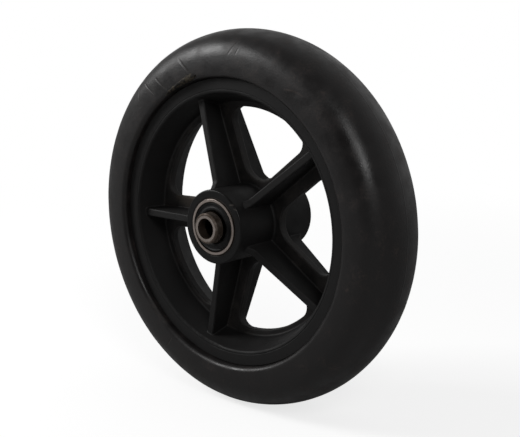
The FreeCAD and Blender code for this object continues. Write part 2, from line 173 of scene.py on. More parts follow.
class BearingSettings(bpy.types.PropertyGroup):
    """Sections and colours of the bearings."""
    steps_around: IntProperty(
        name="Steps around", description="Divisions round the seals", default=192)
    steel_colour: StringProperty(
        name="Steel colour", description="Ground bearing steel, as an sRGB hex value", default="#b3a7a0")
    seal_colour: StringProperty(
        name="Seal colour", description="Rubber of the seals, as an sRGB hex value", default="#0b0b0c")
    grime_colour: StringProperty(
        name="Grime colour", description="Old grease in the gap round a race, as an sRGB hex value",
        default="#2a211a")


class BushSettings(bpy.types.PropertyGroup):
    """Colours of the tarnished bushes."""
    steel_colour: StringProperty(
        name="Steel colour", description="Bare turned steel, as an sRGB hex value", default="#b8ada6")
    tarnish_colour: StringProperty(
        name="Tarnish colour", description="Brown film on the steel, as an sRGB hex value", default="#584d44")


class StageSettings(bpy.types.PropertyGroup):
    """Camera, lamps and floor."""
    azimuth: FloatProperty(
        name="Azimuth", description="Camera's angle round the wheel, from the front",
        default=math.radians(41.34), subtype="ANGLE")
    elevation: FloatProperty(
        name="Elevation", description="Camera's angle above the wheel's centre",
        default=math.radians(11.49), subtype="ANGLE")
    distance: FloatProperty(
        name="Distance", description="Camera to the wheel's centre",
        default=433.2 * MM, unit="LENGTH")
    aside: FloatVectorProperty(
        name="Aside", description="Camera moved to its right and up from the line to the centre",
        default=(3.99 * MM, 0.14 * MM), size=2, unit="LENGTH")
    lens: FloatProperty(
        name="Lens", description="Focal length on a 36 mm sensor", default=75.15)
    floor_size: FloatProperty(
        name="Floor size", description="Side of the square floor", default=6.0, unit="LENGTH")
    floor_colour: StringProperty(
        name="Floor colour", description="Plain pale floor, as an sRGB hex value", default="#bcbcbc")


# Small helpers

def linear(code, alpha=1.0):
    """Turns an sRGB hex value into a linear colour."""
    parts = [int(code[start:start + 2], 16) / 255 for start in (1, 3, 5)]
    return tuple(part / 12.92 if part <= 0.04045 else ((part + 0.055) / 1.055) ** 2.4
                 for part in parts) + (alpha,)


def give(tree, node, values):
    """Gives a node's inputs a socket or a plain value each."""
    for name, source in values.items():
        if isinstance(source, bpy.types.NodeSocket):
            tree.links.new(source, node.inputs[name])
        else:
            node.inputs[name].default_value = source


def add(tree, kind, values=None, **settings):
    """Adds a node with its settings, and a socket or a plain value for some of its inputs."""
    made = tree.nodes.new(kind)
    for name, value in settings.items():
        setattr(made, name, value)
    give(tree, made, values or {})
    return made


def maths(tree, operation, first, second=0.0, clamp=False):
    """One step of arithmetic in a shader or geometry tree."""
    return add(tree, "ShaderNodeMath", {0: first, 1: second}, operation=operation, use_clamp=clamp).outputs[0]


def product(tree, first, *others):
    """Several sockets or numbers multiplied together."""
    for other in others:
        first = maths(tree, "MULTIPLY", first, other)
    return first


def weighted(tree, parts):
    """Sum of several sockets, each times its own share."""
    total = product(tree, *parts[0])
    for part in parts[1:]:
        total = maths(tree, "ADD", total, product(tree, *part))
    return total


def ramp(tree, value, low, high, to_low=0.0, to_high=1.0):
    """Smooth step from to_low to to_high as value goes from low to high."""
    return add(tree, "ShaderNodeMapRange", {
        "Value": value, "From Min": low, "From Max": high, "To Min": to_low, "To Max": to_high,
    }, interpolation_type="SMOOTHSTEP").outputs["Result"]


def blend_colours(tree, factor, first, second):
    """Mixes two colours, each a socket or a plain value."""
    return add(tree, "ShaderNodeMix", {0: factor, 6: first, 7: second}, data_type="RGBA").outputs[2]


def noise(tree, place, size, detail=4.0, roughness=0.55):
    """Noise whose lumps are about size metres across, from 0 to 1."""
    return add(tree, "ShaderNodeTexNoise", {
        "Vector": place, "Scale": 1 / size, "Detail": detail, "Roughness": roughness,
    }).outputs[0]


def finish_named(name):
    """An empty node material with its output, its shader and the place on the piece in metres."""
    material = bpy.data.materials.new(name)
    material.use_nodes = True
    tree = material.node_tree
    tree.nodes.clear()
    shader = add(tree, "ShaderNodeBsdfPrincipled")
    add(tree, "ShaderNodeOutputMaterial", {"Surface": shader.outputs[0]})
    place = add(tree, "ShaderNodeTexCoord").outputs["Object"]
    return material, tree, shader, place


def around_axle(tree, place):
    """Distance from the axle and place along it."""
    split = add(tree, "ShaderNodeSeparateXYZ", {0: place})
    flat = add(tree, "ShaderNodeCombineXYZ", {0: split.outputs[0], 1: 0.0, 2: split.outputs[2]})
    across = add(tree, "ShaderNodeVectorMath", {0: flat.outputs[0]}, operation="LENGTH").outputs["Value"]
    return across, split.outputs[1]


def tool_lines(tree, across, along, size):
    """Noise in fine rings round the axle, as a lathe or a grinding wheel leaves them."""
    section = add(tree, "ShaderNodeCombineXYZ", {0: across, 1: along, 2: 0.0}).outputs[0]
    return noise(tree, section, size, 2.0)


def bump(tree, height, depth):
    """Turns a height from 0 to 1 into a normal, where 1 stands depth metres high."""
    return add(tree, "ShaderNodeBump", {"Height": height, "Distance": depth, "Strength": 1.0}).outputs[0]


def new_sockets(tree, inputs, outputs):
    """Gives a node group its inputs and outputs, each a name with its kind."""
    for way, rows in (("INPUT", inputs), ("OUTPUT", outputs)):
        for name, kind in rows.items():
            tree.interface.new_socket(name, in_out=way, socket_type="NodeSocket" + kind)


def mark_group():
    """Node group: how strongly a point lies on a straight mark from Start to End, 0 to 1."""
    tree = bpy.data.node_groups.new(MARKING, "ShaderNodeTree")
    new_sockets(tree, {"Place": "Vector", "Start": "Vector", "End": "Vector", "Width": "Float"},
                {"Mark": "Float"})
    given = add(tree, "NodeGroupInput").outputs
    run = add(tree, "ShaderNodeVectorMath", {0: given["End"], 1: given["Start"]},
              operation="SUBTRACT").outputs[0]
    away = add(tree, "ShaderNodeVectorMath", {0: given["Place"], 1: given["Start"]},
               operation="SUBTRACT").outputs[0]
    along = add(tree, "ShaderNodeVectorMath", {0: away, 1: run}, operation="DOT_PRODUCT").outputs["Value"]
    whole = add(tree, "ShaderNodeVectorMath", {0: run, 1: run}, operation="DOT_PRODUCT").outputs["Value"]
    share = maths(tree, "DIVIDE", along, whole, clamp=True)
    foot = add(tree, "ShaderNodeVectorMath", {0: run, "Scale": share}, operation="SCALE").outputs[0]
    gap = add(tree, "ShaderNodeVectorMath", {0: away, 1: foot}, operation="DISTANCE").outputs["Value"]
    strength = maths(tree, "SUBTRACT", 1.0, maths(tree, "DIVIDE", gap, given["Width"]), clamp=True)
    # A mark thins out towards its two ends.
    middle = product(tree, share, maths(tree, "SUBTRACT", 1.0, share), 4.0)
    strength = product(tree, strength, maths(tree, "POWER", middle, 0.25))
    add(tree, "NodeGroupOutput", {"Mark": strength})
    return tree


def marks(tree, place, rows):
    """The strongest of several straight marks, each with its start, end and width in millimetres."""
    group = bpy.data.node_groups.get(MARKING) or mark_group()
    strongest = None
    for start, end, width in rows:
        found = add(tree, "ShaderNodeGroup", {
            "Place": place, "Start": Vector(start) * MM, "End": Vector(end) * MM, "Width": width * MM,
        }, node_tree=group).outputs[0]
        strongest = found if strongest is None else maths(tree, "MAXIMUM", strongest, found)
    return strongest


def on_side(angle, radius, along):
    """Point on a face of the wheel, from its angle above the X axis, radius and place along Y."""
    turn = math.radians(angle)
    return radius * math.cos(turn), along, radius * math.sin(turn)


# Outlines of turned pieces: closed loops of (across, along) in metres

def arc(centre, radius, start, end, steps):
    """Points on an arc, with its angles in degrees from the across direction."""
    points = []
    for step in range(steps + 1):
        turn = math.radians(start + (end - start) * step / steps)
        points.append((centre[0] + radius * math.cos(turn), centre[1] + radius * math.sin(turn)))
    return points


def bearing_of(centre, point):
    """Angle of a point seen from a centre, in degrees."""
    return math.degrees(math.atan2(point[1] - centre[1], point[0] - centre[0]))


def crossing(first, first_radius, second, second_radius):
    """Where two circles cross, at the crossing that lies farther along."""
    gap = math.dist(first, second)
    reach = (first_radius ** 2 - second_radius ** 2 + gap ** 2) / (2 * gap)
    height = math.sqrt(first_radius ** 2 - reach ** 2)
    unit = ((second[0] - first[0]) / gap, (second[1] - first[1]) / gap)
    spots = [(first[0] + unit[0] * reach - unit[1] * way, first[1] + unit[1] * reach + unit[0] * way)
             for way in (height, -height)]
    return max(spots, key=lambda spot: spot[1])


def tyre_outline(settings):
    """Section of the tyre: seat on the rim, bead edge, sidewall, shoulder and crown."""
    crown, shoulder, side = settings.crown_radius, settings.shoulder_radius, settings.side_radius
    bead = settings.bead_radius
    seat = RIM_HIGH.x + settings.seat_gap
    root = inner_radius("tyre")
    crown_centre = (TYRE_HIGH.x - crown, 0.0)
    side_centre = (settings.widest_radius, TYRE_HIGH.y - side)
    shoulder_centre = crossing(crown_centre, crown - shoulder, side_centre, side - shoulder)
    bead_across = seat + bead
    bead_along = side_centre[1] + math.sqrt((side - bead) ** 2 - (side_centre[0] - bead_across) ** 2)
    bead_centre = (bead_across, bead_along)
    turn_bead = bearing_of(side_centre, bead_centre)
    turn_side = bearing_of(side_centre, shoulder_centre)
    turn_crown = bearing_of(crown_centre, shoulder_centre)
    upper = [(root, settings.key_half), (seat, settings.land_half)]
    upper += arc(bead_centre, bead, 180, turn_bead, 8)
    upper += arc(side_centre, side, turn_bead, turn_side, 14)[1:]
    upper += arc(shoulder_centre, shoulder, turn_side, turn_crown, 12)[1:]
    upper += arc(crown_centre, crown, turn_crown, 0, 16)[1:]
    lower = [(across, -along) for across, along in reversed(upper[:-1])]
    return upper + lower


def inner_radius(node):
    """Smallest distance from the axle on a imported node."""
    return min(math.hypot(point.co.x, point.co.z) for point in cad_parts[node].data.vertices)


def seal_outline(outer_face, side):
    """Section of a bearing's seal: clipped rim, shallow trough and raised lip round the inner race."""
    inner = inner_radius("seal_front_outer")
    outer = SEAL_HIGH.x
    thick = SEAL_HIGH.y - SEAL_LOW.y
    # Each row is the distance in from the outer edge and the depth below the seal's face, in mm, on
    # a seal drawn 3.29 mm wide.
    drawn_width, foot_depth = 3.29 * MM, 0.42 * MM
    rows = [(0.0, 0.20), (0.12, 0.06), (0.30, 0.0), (0.62, 0.0), (0.74, 0.16), (0.90, 0.22), (1.55, 0.22),
            (1.75, 0.14), (1.90, 0.05), (2.10, 0.0), (2.55, 0.0), (2.75, 0.04), (2.90, 0.12),
            (3.02, 0.20), (3.12, 0.30)]
    scale = (outer - inner) / drawn_width
    points = [(outer - inset * MM * scale, outer_face - depth * MM * side) for inset, depth in rows]
    points.append((inner, outer_face - foot_depth * side))
    points.append((inner, outer_face - thick * side))
    points.append((outer, outer_face - thick * side))
    return points


def grime_outline(hub_face, side):
    """Section of the grime that fills the chamfer between a race and the hub's face."""
    race = RACE_HIGH.x
    # Each row is the distance out from the race and the depth below the hub's face, in mm.
    rows = [(0.01, 0.52), (0.01, 0.16), (0.16, 0.12), (0.34, 0.16), (0.46, 0.14)]
    return [(race + away * MM, hub_face - depth * MM * side) for away, depth in rows]


def placed(name, data):
    """New object in the scene, at the origin, that shows a mesh, a light or a camera."""
    made = bpy.data.objects.new(name, data)
    bpy.context.scene.collection.objects.link(made)
    return made


def outline_object(name, points):
    """Mesh of loose points in order, which the turning tree reads."""
    mesh = bpy.data.meshes.new(name)
    mesh.from_pydata([(across, along, 0.0) for across, along in points], [], [])
    return placed(name, mesh)


def turning_tree():
    """Geometry tree that turns an outline about the axle and lets its surface wander a little."""
    tree = bpy.data.node_groups.new(TURNING, "GeometryNodeTree")
    new_sockets(tree, {
        "Geometry": "Geometry", "Outline": "Object", "Steps Around": "Int", "Unevenness": "Float",
        "Lump Size": "Float", "Material": "Material",
    }, {"Geometry": "Geometry"})
    given = add(tree, "NodeGroupInput").outputs
    drawn = add(tree, "GeometryNodeObjectInfo", {"Object": given["Outline"]}).outputs["Geometry"]
    count = add(tree, "GeometryNodeAttributeDomainSize", {0: drawn}).outputs["Point Count"]
    grid = add(tree, "GeometryNodeMeshGrid", {
        "Size X": 1.0, "Size Y": 1.0,
        "Vertices X": maths(tree, "ADD", given["Steps Around"], 1.0),
        "Vertices Y": maths(tree, "ADD", count, 1.0),
    })
    # The grid runs from -0.5 to 0.5: across it lies the turn, and up it the outline's points.
    spot = add(tree, "ShaderNodeSeparateXYZ", {0: add(tree, "GeometryNodeInputPosition").outputs[0]})
    turn = product(tree, maths(tree, "ADD", spot.outputs[0], 0.5), 2 * math.pi)
    row = maths(tree, "ROUND", product(tree, maths(tree, "ADD", spot.outputs[1], 0.5), count))
    row = maths(tree, "MODULO", row, count)
    point = add(tree, "GeometryNodeSampleIndex", {
        "Geometry": drawn, "Index": row,
    }, data_type="FLOAT_VECTOR", domain="POINT")
    tree.links.new(add(tree, "GeometryNodeInputPosition").outputs[0], point.inputs["Value"])
    drawn_at = add(tree, "ShaderNodeSeparateXYZ", {0: point.outputs[0]})
    place = add(tree, "ShaderNodeCombineXYZ", {
        0: product(tree, drawn_at.outputs[0], maths(tree, "COSINE", turn)),
        1: drawn_at.outputs[1],
        2: product(tree, drawn_at.outputs[0], maths(tree, "SINE", turn)),
    })
    ring = add(tree, "GeometryNodeSetPosition", {
        "Geometry": grid.outputs["Mesh"], "Position": place.outputs[0],
    })
    closed = add(tree, "GeometryNodeMergeByDistance", {"Geometry": ring.outputs[0], "Distance": 0.001 * MM})
    lumps = add(tree, "ShaderNodeTexNoise", {
        "Vector": add(tree, "GeometryNodeInputPosition").outputs[0],
        "Scale": maths(tree, "DIVIDE", 1.0, given["Lump Size"]), "Detail": 2.0,
    })
    wander = product(tree, maths(tree, "SUBTRACT", lumps.outputs[0], 0.5), given["Unevenness"])
    offset = add(tree, "ShaderNodeVectorMath", {
        0: add(tree, "GeometryNodeInputNormal").outputs[0], "Scale": wander,
    }, operation="SCALE")
    worn = add(tree, "GeometryNodeSetPosition", {"Geometry": closed.outputs[0], "Offset": offset.outputs[0]})
    smooth = add(tree, "GeometryNodeSetShadeSmooth", {"Geometry": worn.outputs[0]})
    real = add(tree, "GeometryNodeRealizeInstances", {0: smooth.outputs[0]})
    coated = add(tree, "GeometryNodeSetMaterial", {
        "Geometry": real.outputs[0], "Material": given["Material"],
    })
    add(tree, "NodeGroupOutput", {0: coated.outputs[0]})
    return tree


def turned(name, outline, steps, material, unevenness=0.0, lump_size=TYRE_LUMPS):
    """Plain mesh object turned about the axle by the geometry tree."""
    tree = bpy.data.node_groups.get(TURNING) or turning_tree()
    drawn = outline_object(name + "_outline", outline)
    carrier = placed(name + "_carrier", bpy.data.meshes.new(name + "_carrier"))
    modifier = carrier.modifiers.new("Turn", "NODES")
    modifier.node_group = tree
    values = {"Outline": drawn, "Steps Around": steps, "Unevenness": unevenness,
              "Lump Size": lump_size, "Material": material}
    for item in tree.interface.items_tree:
        if item.in_out == "INPUT" and item.name in values:
            modifier[item.identifier] = values[item.name]
    carrier.update_tag()
    evaluated = carrier.evaluated_get(bpy.context.evaluated_depsgraph_get())
    mesh = bpy.data.meshes.new_from_object(evaluated)
    if len(mesh.polygons) == 0:
        raise RuntimeError(f"the turning tree gave no faces for {name}")
    bpy.data.objects.remove(carrier)
    bpy.data.objects.remove(drawn)
    point_outwards(mesh)
    mesh.name = name
    return placed(name, mesh)


def side_of_tyre(settings, across):
    """How far from the mid-plane the tyre's side lies at one distance from the axle."""
    section = [point for point in tyre_outline(settings)
               if point[1] > settings.land_half and point[0] <= settings.widest_radius]
    for near, far in zip(section, section[1:]):
        if near[0] <= across < far[0]:
            return near[1] + (far[1] - near[1]) * (across - near[0]) / (far[0] - near[0])
    return section[-1][1]


# Stations along the torn edge: angle, inner and outer distance from the axle, and lift, in mm.
TEAR = [
    (123.0, 57.35, 57.55, 0.05), (121.4, 57.20, 57.85, 0.30), (120.0, 57.15, 58.25, 0.22),
    (118.6, 57.15, 58.10, 0.45), (117.0, 57.20, 58.60, 0.38), (115.6, 57.15, 58.35, 0.55),
    (114.0, 57.15, 59.00, 0.48), (112.6, 57.25, 58.80, 0.70), (111.0, 57.15, 59.40, 0.62),
    (109.6, 57.20, 59.30, 0.85), (108.2, 57.30, 60.05, 0.72), (107.0, 57.25, 59.70, 0.88),
    (105.8, 57.60, 60.00, 0.55), (104.6, 57.80, 59.40, 0.60), (103.4, 58.20, 59.00, 0.10),
]
# Shares of the torn edge's width at which a station has points, and how deep its foot is sunk.
TEAR_SHARES = (0.0, 0.35, 0.7, 1.0)
TEAR_FOOT = 0.25 * MM


def tear_piece(settings, material):
    """Split flap of tyre that curls away from the inner edge of the front side."""
    points, faces = [], []
    for angle, inner, outer, lift in TEAR:
        turn = math.radians(angle)
        for share in TEAR_SHARES:
            across = (inner + (outer - inner) * share) * MM
            base = side_of_tyre(settings, across)
            # The flap is highest a little before its middle, and curls back to its free edge.
            curl = lift * MM * math.sin(math.pi * (0.25 + 0.65 * share))
            for along in (base - TEAR_FOOT, base + curl):
                points.append((across * math.cos(turn), -along, across * math.sin(turn)))
    row = 2 * len(TEAR_SHARES)
    last = (len(TEAR) - 1) * row
    for first in range(0, last, row):
        second = first + row
        for low in range(0, row - 2, 2):
            high = low + 1
            faces.append((first + high, first + high + 2, second + high + 2, second + high))
            faces.append((first + low, second + low, second + low + 2, first + low + 2))
        faces.append((first, first + 1, second + 1, second))
        faces.append((second - 2, second + row - 2, second + row - 1, second - 1))
    for end in (0, last):
        faces.append([end + index for index in (*range(0, row, 2), *range(row - 1, 0, -2))])
    mesh = bpy.data.meshes.new("tyre_torn_edge")
    mesh.from_pydata(points, [], faces)
    mesh.materials.append(material)
    point_outwards(mesh)
    mesh.shade_smooth()
    return placed("tyre_torn_edge", mesh)


def point_outwards(mesh):
    """Turns every face of a closed mesh outwards."""
    work = bmesh.new()
    work.from_mesh(mesh)
    bmesh.ops.recalc_face_normals(work, faces=work.faces)
    work.to_mesh(mesh)
    work.free()


# Finishes

def cast_polyurethane(settings):
    """Solid tyre of black polyurethane, poured into a polished mould.

    It has a soft sheen with fine pits, shallow scuffs that catch the light, hairline creases in
    its sides and dust in the worn places.
    """
    material, tree, shader, place = finish_named("tyre_black_polyurethane")
    across, along = around_axle(tree, place)
    creases = marks(tree, place, [
        (on_side(133.3, 69.8, -14.2), on_side(137.2, 62.4, -16.0), 0.7),
        (on_side(130.2, 69.0, -14.6), on_side(127.6, 61.4, -16.0), 0.6),
        (on_side(124.0, 66.4, -15.5), on_side(120.6, 59.0, -15.9), 0.7),
        (on_side(111.4, 68.4, -14.8), on_side(107.8, 62.3, -16.0), 0.8),
        (on_side(108.0, 63.0, -16.0), on_side(106.4, 58.8, -15.9), 0.7),
        (on_side(195.8, 66.5, -15.5), on_side(200.2, 57.4, -14.9), 0.7),
        (on_side(222.6, 70.5, -13.8), on_side(228.0, 66.4, -15.6), 0.6),
        (on_side(239.7, 64.8, -15.8), on_side(240.4, 60.0, -16.0), 0.5),
        (on_side(87.6, 65.8, -15.6), on_side(85.0, 71.4, -12.8), 0.6),
        (on_side(84.4, 66.0, -15.5), on_side(83.6, 69.8, -14.2), 0.45),
    ])
    scuffs = marks(tree, place, [
        (on_side(60.5, 62.2, -15.7), on_side(57.0, 64.2, -15.9), 0.6),
        (on_side(57.0, 64.2, -15.9), on_side(52.8, 65.4, -15.9), 0.6),
        (on_side(-14.8, 61.8, -15.6), on_side(-13.6, 62.8, -15.7), 0.9),
        (on_side(-86.8, 63.5, -15.8), on_side(-86.3, 68.0, -15.9), 0.3),
        (on_side(-90.5, 63.0, -15.8), on_side(-90.2, 66.0, -15.9), 0.3),
    ])
    clouds = noise(tree, place, 7 * MM, 5.0)
    # The real grit and pits are finer, and are drawn as coarse as they need to be to show.
    grit = noise(tree, place, 0.9 * MM, 3.0)
    pits = noise(tree, place, 0.35 * MM, 2.0)
    worn = product(tree, ramp(tree, clouds, 0.48, 0.72), ramp(tree, grit, 0.35, 0.75), 0.7)
    worn = maths(tree, "MAXIMUM", worn, scuffs)
    # The creases are lifted towards the worn colour as a painted highlight along them.
    worn = maths(tree, "MAXIMUM", worn, product(tree, creases, 0.3))
    colour = blend_colours(tree, worn, linear(settings.colour), linear(settings.worn_colour))
    # A near-black line along the foot of the tear is painted shade in the split under the flap.
    split = marks(tree, place, [
        (on_side(125.0, 57.1, -14.4), on_side(112.0, 57.2, -14.6), 1.0),
        (on_side(114.0, 57.6, -14.9), on_side(101.0, 57.5, -14.8), 1.3),
    ])
    colour = blend_colours(tree, ramp(tree, split, 0.1, 0.6), colour, linear(SPLIT_SHADE))
    # A patch of the right shoulder is rubbed smoother than the rest.
    rubbed = marks(tree, place, [(on_side(16.0, 71.0, -12.6), on_side(44.0, 71.0, -12.6), 11.0)])
    rough = ramp(tree, clouds, 0.3, 0.72, 0.34, 0.52)
    rough = maths(tree, "SUBTRACT", rough, product(tree, rubbed, 0.11))
    # The part line of the mould runs round the middle of the tread.
    line = ramp(tree, maths(tree, "ABSOLUTE", along), 0.0, 0.35 * MM, 1.0, 0.0)
    line = product(tree, line, ramp(tree, across, *TREAD))
    height = weighted(tree, [(grit, 0.7), (pits, 0.6), (line, 0.8), (clouds, 1.3), (creases, -1.9)])
    give(tree, shader, {
        "Base Color": colour, "Roughness": rough, "Normal": bump(tree, height, 0.05 * MM),
    })
    return material


def moulded_nylon(settings):
    """Rim of glass-filled nylon, black, injection moulded.

    Its skin is matte and a little mottled by the glass, and dust lies on the web and round the
    windows.
    """
    material, tree, shader, place = finish_named("rim_black_glass_filled_nylon")
    across, along = around_axle(tree, place)
    depth = maths(tree, "ABSOLUTE", along)
    clouds = noise(tree, place, 7 * MM, 5.0)
    # The skin's real grain is finer, and is drawn as coarse as it needs to be to show.
    grain = noise(tree, place, 0.5 * MM, 3.0)
    web = ramp(tree, depth, *WEB_FACE, 1.0, 0.0)
    dust = product(tree, web, ramp(tree, across, *HUB_FOOT), ramp(tree, clouds, 0.30, 0.80),
                   ramp(tree, grain, 0.3, 0.7, 0.5, 1.0))
    settled = marks(tree, place, [(on_side(168.0, 25.0, -2.0), on_side(166.0, 40.0, -2.0), 8.0)])
    settled = product(tree, settled, web, ramp(tree, grain, 0.2, 0.8, 0.5, 1.0))
    # The mould left a fine line on each flange, just outside its rounded lip; it is a shallow groove, and its
    # black is painted shade in that groove.
    line = maths(tree, "ABSOLUTE", maths(tree, "SUBTRACT", across, settings.line_radius))
    line = ramp(tree, line, 0.05 * MM, 0.25 * MM, 1.0, 0.0)
    line = product(tree, line, ramp(tree, depth, *FLANGE_FACE))
    nicks = marks(tree, place, [
        (on_side(49.0, 12.7, -21.2), on_side(43.0, 14.6, -21.1), 0.45),
        (on_side(38.5, 13.6, -21.2), on_side(33.5, 14.5, -21.0), 0.35),
    ])
    # The hub's end faces are smoother and blacker than the rest.
    on_hub_end = product(tree, ramp(tree, depth, *HUB_FACE), ramp(tree, across, *HUB_RIM, 1.0, 0.0))
    # The black on the flange line is painted shade; on the hub ends it is their own blacker skin.
    black = maths(tree, "MAXIMUM", product(tree, line, 0.85), product(tree, on_hub_end, 0.8))
    colour = blend_colours(tree, dust, linear(settings.colour), linear(settings.dust_colour))
    colour = blend_colours(tree, black, colour, linear(LINE_BLACK))
    colour = blend_colours(tree, nicks, colour, linear(NICK_GREY))
    colour = blend_colours(tree, product(tree, settled, 0.8), colour, linear(SETTLED_DUST))
    rough = ramp(tree, clouds, 0.3, 0.7, 0.54, 0.66)
    rough = maths(tree, "SUBTRACT", rough, product(tree, on_hub_end, 0.24))
    height = weighted(tree, [(grain, 0.6), (clouds, 0.8), (line, -4.0)])
    give(tree, shader, {
        "Base Color": colour, "Roughness": rough, "Specular IOR Level": 0.3,
        "Normal": bump(tree, height, 0.03 * MM),
    })
    return material


def ground_steel(settings):
    """Bearing races and balls of hardened chrome steel, ground.

    The faces shine with a faint run of grinding lines round the axle and a little brown film.
    """
    material, tree, shader, place = finish_named("bearing_ground_steel")
    across, along = around_axle(tree, place)
    film = noise(tree, place, 2.5 * MM, 4.0)
    # Real grinding lines are finer, and are drawn as coarse as they need to be to show.
    lines = tool_lines(tree, across, along, 0.12 * MM)
    colour = blend_colours(tree, ramp(tree, film, 0.5, 0.8, 0.0, 0.3), linear(settings.steel_colour),
                           linear(STEEL_FILM))
    # Grime and painted shade darken the step beside the seal, the rounded corner and the inner races.
    clean_and_lit = product(tree, ramp(tree, across, *RACE_STEP), ramp(tree, across, *RACE_CORNER, 1.0, 0.0))
    colour = blend_colours(tree, clean_and_lit, linear(RACE_GRIME_AND_SHADE), colour)
    give(tree, shader, {
        "Base Color": colour, "Metallic": 1.0, "Roughness": ramp(tree, film, 0.3, 0.8, 0.30, 0.40),
        "Normal": bump(tree, lines, 0.004 * MM),
    })
    return material


def seal_rubber(settings):
    """Bearing seals of black nitrile rubber, pressed in a mould, with a dull sheen."""
    material, tree, shader, place = finish_named("seal_black_nitrile")
    clouds = noise(tree, place, 3 * MM, 4.0)
    dust = noise(tree, place, 0.7 * MM, 3.0)
    colour = blend_colours(tree, ramp(tree, dust, 0.55, 0.85, 0.0, 0.6), linear(settings.seal_colour),
                           linear(SEAL_DUST))
    give(tree, shader, {
        "Base Color": colour, "Roughness": ramp(tree, clouds, 0.3, 0.7, 0.5, 0.62),
        "Specular IOR Level": 0.3, "Normal": bump(tree, dust, 0.01 * MM),
    })
    return material


def torn_polyurethane(settings):
    """Torn edge of the tyre: the same polyurethane, dry, chalky and brown where it split."""
    material, tree, shader, place = finish_named("tyre_torn_polyurethane")
    lumps = noise(tree, place, 1.3 * MM, 5.0)
    grit = noise(tree, place, 0.3 * MM, 3.0)
    colour = blend_colours(tree, ramp(tree, lumps, 0.42, 0.58), linear(settings.torn_colour),
                           linear(TORN_DARK))
    height = weighted(tree, [(lumps, 1.0), (grit, 0.5)])
    give(tree, shader, {
        "Base Color": colour, "Roughness": 0.75, "Specular IOR Level": 0.3,
        "Normal": bump(tree, height, 0.12 * MM),
    })
    return material


def old_grease(settings):
    """Dried grease and dirt, brown and lumpy, in the gap round a race."""
    material, tree, shader, place = finish_named("grime_old_grease")
    lumps = noise(tree, place, 1.1 * MM, 4.0)
    colour = blend_colours(tree, ramp(tree, lumps, 0.4, 0.7), linear(settings.grime_colour),
                           linear(GREASE_DARK))
    give(tree, shader, {
        "Base Color": colour, "Roughness": 0.7, "Normal": bump(tree, lumps, 0.1 * MM),
    })
    return material


def tarnished_steel(settings):
    """Bushes of turned mild steel, gone brown, with fine turning lines.

    The end stays bright where it rubs on the fork.
    """
    material, tree, shader, place = finish_named("bush_tarnished_steel")
    across, along = around_axle(tree, place)
    depth = maths(tree, "ABSOLUTE", along)
    clouds = noise(tree, place, 2.2 * MM, 5.0)
    # Real turning lines are finer, and are drawn as coarse as they need to be to show.
    lines = tool_lines(tree, across, along, 0.2 * MM)
    on_end = product(tree, ramp(tree, across, *BUSH_RIM, 1.0, 0.0), ramp(tree, depth, *BUSH_FACE))
    film = product(tree, ramp(tree, clouds, 0.25, 0.6, 0.55, 1.0),
                   maths(tree, "SUBTRACT", 1.0, product(tree, on_end, 0.75)))
    colour = blend_colours(tree, film, linear(settings.steel_colour), linear(settings.tarnish_colour))
    in_bore = ramp(tree, across, *BORE_WALL, 0.8, 0.0)
    colour = blend_colours(tree, in_bore, colour, linear(BORE_BROWN))
    give(tree, shader, {
        "Base Color": colour, "Metallic": 0.85, "Roughness": ramp(tree, film, 0.2, 1.0, 0.26, 0.62),
        "Normal": bump(tree, maths(tree, "ADD", lines, clouds), 0.012 * MM),
    })
    return material


def moulded_cage():
    """Bearing cages of natural nylon, moulded, cream and slightly oily."""
    material, tree, shader, place = finish_named("cage_natural_nylon")
    clouds = noise(tree, place, 2 * MM, 3.0)
    colour = blend_colours(tree, ramp(tree, clouds, 0.35, 0.7), linear(CAGE_PALE), linear(CAGE_DARK))
    give(tree, shader, {
        "Base Color": colour, "Roughness": ramp(tree, clouds, 0.3, 0.7, 0.3, 0.45),
        "Normal": bump(tree, clouds, 0.01 * MM),
    })
    return material


def drawn_tube():
    """Spacer tube of drawn steel, grey, with faint lines along its length."""
    material, tree, shader, place = finish_named("spacer_drawn_steel")
    split = add(tree, "ShaderNodeSeparateXYZ", {0: place}).outputs
    turn = maths(tree, "DIVIDE", maths(tree, "ARCTAN2", split[2], split[0]), 2 * math.pi)
    # The lines stand 0.004 of a turn apart, which is coarser than real ones.
    lines = noise(tree, add(tree, "ShaderNodeCombineXYZ", {0: turn, 1: 0.0, 2: 0.0}).outputs[0], 0.004, 2.0)
    colour = blend_colours(tree, lines, linear(TUBE_DARK), linear(TUBE_PALE))
    give(tree, shader, {
        "Base Color": colour, "Metallic": 1.0, "Roughness": ramp(tree, lines, 0.3, 0.7, 0.35, 0.45),
        "Normal": bump(tree, lines, 0.006 * MM),
    })
    return material


def coat(node, material):
    """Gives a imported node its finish."""
    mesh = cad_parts[node].data
    mesh.materials.clear()
    mesh.materials.append(material)


# Stage

def make_floor(settings):
    """Plain pale floor under the tyre, white to the camera and shaded by the wheel."""
    half = settings.floor_size / 2
    level = TYRE_LOW.z
    mesh = bpy.data.meshes.new("floor")
    corners = [(-half, -half, level), (half, -half, level), (half, half, level), (-half, half, level)]
    mesh.from_pydata(corners, [], [(0, 1, 2, 3)])
    floor = placed("floor", mesh)
    material = bpy.data.materials.new("floor_matt_white")
    material.use_nodes = True
    tree = material.node_tree
    tree.nodes.clear()
    seen = add(tree, "ShaderNodeLightPath").outputs["Is Camera Ray"]
    place = add(tree, "ShaderNodeTexCoord").outputs["Object"]
    away = add(tree, "ShaderNodeVectorMath", {0: place}, operation="LENGTH").outputs["Value"]
    far = ramp(tree, away, *FLOOR_FADE)
    paint = add(tree, "ShaderNodeBsdfDiffuse", {"Color": linear(settings.floor_colour)}).outputs[0]
    glow = add(tree, "ShaderNodeEmission", {"Strength": product(tree, seen, FLOOR_GLOW)}).outputs[0]
    near = add(tree, "ShaderNodeAddShader", {0: paint, 1: glow}).outputs[0]
    white = add(tree, "ShaderNodeEmission", {"Strength": 1.0}).outputs[0]
    mixed = add(tree, "ShaderNodeMixShader", {0: product(tree, far, seen), 1: near, 2: white})
    add(tree, "ShaderNodeOutputMaterial", {"Surface": mixed.outputs[0]})
    mesh.materials.append(material)


